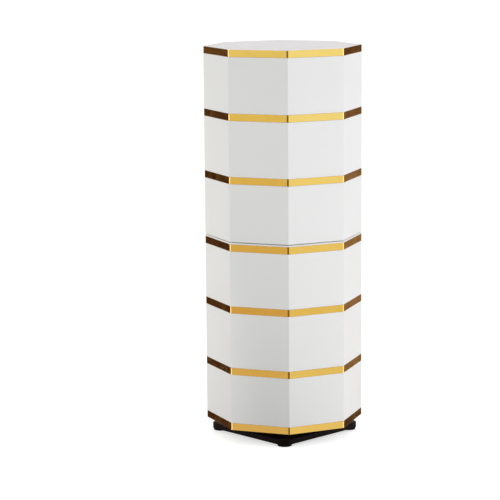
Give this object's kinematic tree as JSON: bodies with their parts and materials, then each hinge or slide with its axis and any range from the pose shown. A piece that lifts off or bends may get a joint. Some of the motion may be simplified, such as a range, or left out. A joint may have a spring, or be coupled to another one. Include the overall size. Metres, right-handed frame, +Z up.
{
  "type": "rotating shoe cabinet",
  "caption": "Octagonal shoe cabinet with closed white walls on one half and open tiers behind, banded in mirror gold, turning on a ball-bearing base.",
  "frame": {"origin": "on the turning axis at floor level, under the middle of the cabinet", "axes": "+Z up along the turning axis, -Y towards the corner between the closed front walls, +Y towards the open half, +X to the right of someone who faces the closed front"},
  "size_m": [0.4396, 0.4396, 1.0917],
  "materials": {
    "white_lacquer": "satin white lacquer on board",
    "mirror_gold": "mirror polished, gold coloured",
    "black_laminate": "satin black laminate on board",
    "black_rubber": "matt",
    "bearing_aluminium": "mill finish, satin",
    "bright_steel": "bright zinc plated"
  },
  "bodies": {
    "base": {"base_board": "black_laminate", "foot_1": "black_rubber", "foot_2": "black_rubber", "foot_3": "black_rubber", "foot_4": "black_rubber", "bearing_outer_ring": "bearing_aluminium"},
    "ball_cage": {"ball_cage": "bright_steel"},
    "cabinet": {"bearing_inner_ring": "bearing_aluminium", "hub_board": "black_laminate", "bottom_board": "white_lacquer", "lower_shelf_1": "white_lacquer", "lower_shelf_2": "white_lacquer", "lower_top_board": "white_lacquer", "upper_shelf_1": "white_lacquer", "upper_shelf_2": "white_lacquer", "top_board": "white_lacquer", "bottom_board_gold_strip": "mirror_gold", "lower_shelf_1_gold_strip": "mirror_gold", "lower_shelf_2_gold_strip": "mirror_gold", "lower_top_board_gold_strip": "mirror_gold", "upper_shelf_1_gold_strip": "mirror_gold", "upper_shelf_2_gold_strip": "mirror_gold", "top_board_gold_strip": "mirror_gold", "lower_cover_sheet": "white_lacquer", "upper_floor_board": "white_lacquer", "module_bolt_1": "bright_steel", "module_bolt_2": "bright_steel", "module_bolt_3": "bright_steel", "module_bolt_4": "bright_steel", "tier_1_left_side_panel": "white_lacquer", "tier_1_left_front_panel": "white_lacquer", "tier_1_right_front_panel": "white_lacquer", "tier_1_right_side_panel": "white_lacquer", "tier_2_left_side_panel": "white_lacquer", "tier_2_left_front_panel": "white_lacquer", "tier_2_right_front_panel": "white_lacquer", "tier_2_right_side_panel": "white_lacquer", "tier_3_left_side_panel": "white_lacquer", "tier_3_left_front_panel": "white_lacquer", "tier_3_right_front_panel": "white_lacquer", "tier_3_right_side_panel": "white_lacquer", "tier_4_left_side_panel": "white_lacquer", "tier_4_left_front_panel": "white_lacquer", "tier_4_right_front_panel": "white_lacquer", "tier_4_right_side_panel": "white_lacquer", "tier_5_left_side_panel": "white_lacquer", "tier_5_left_front_panel": "white_lacquer", "tier_5_right_front_panel": "white_lacquer", "tier_5_right_side_panel": "white_lacquer", "tier_6_left_side_panel": "white_lacquer", "tier_6_left_front_panel": "white_lacquer", "tier_6_right_front_panel": "white_lacquer", "tier_6_right_side_panel": "white_lacquer", "tier_1_partition": "white_lacquer", "tier_2_partition": "white_lacquer", "tier_3_partition": "white_lacquer", "tier_4_partition": "white_lacquer", "tier_5_partition": "white_lacquer", "tier_6_partition": "white_lacquer"}
  },
  "joints": [
    {"name": "cabinet_spin", "type": "hinge", "parent": "base", "child": "cabinet", "pos_m": [0, 0, 0.026], "axis": [0, 0, 1], "continuous": true},
    {"name": "cage_spin", "type": "hinge", "parent": "base", "child": "ball_cage", "pos_m": [0, 0, 0.026], "axis": [0, 0, 1], "continuous": true}
  ],
  "couplings": [
    {"joint": "cage_spin", "follows": "cabinet_spin", "ratio": 0.5}
  ]
}
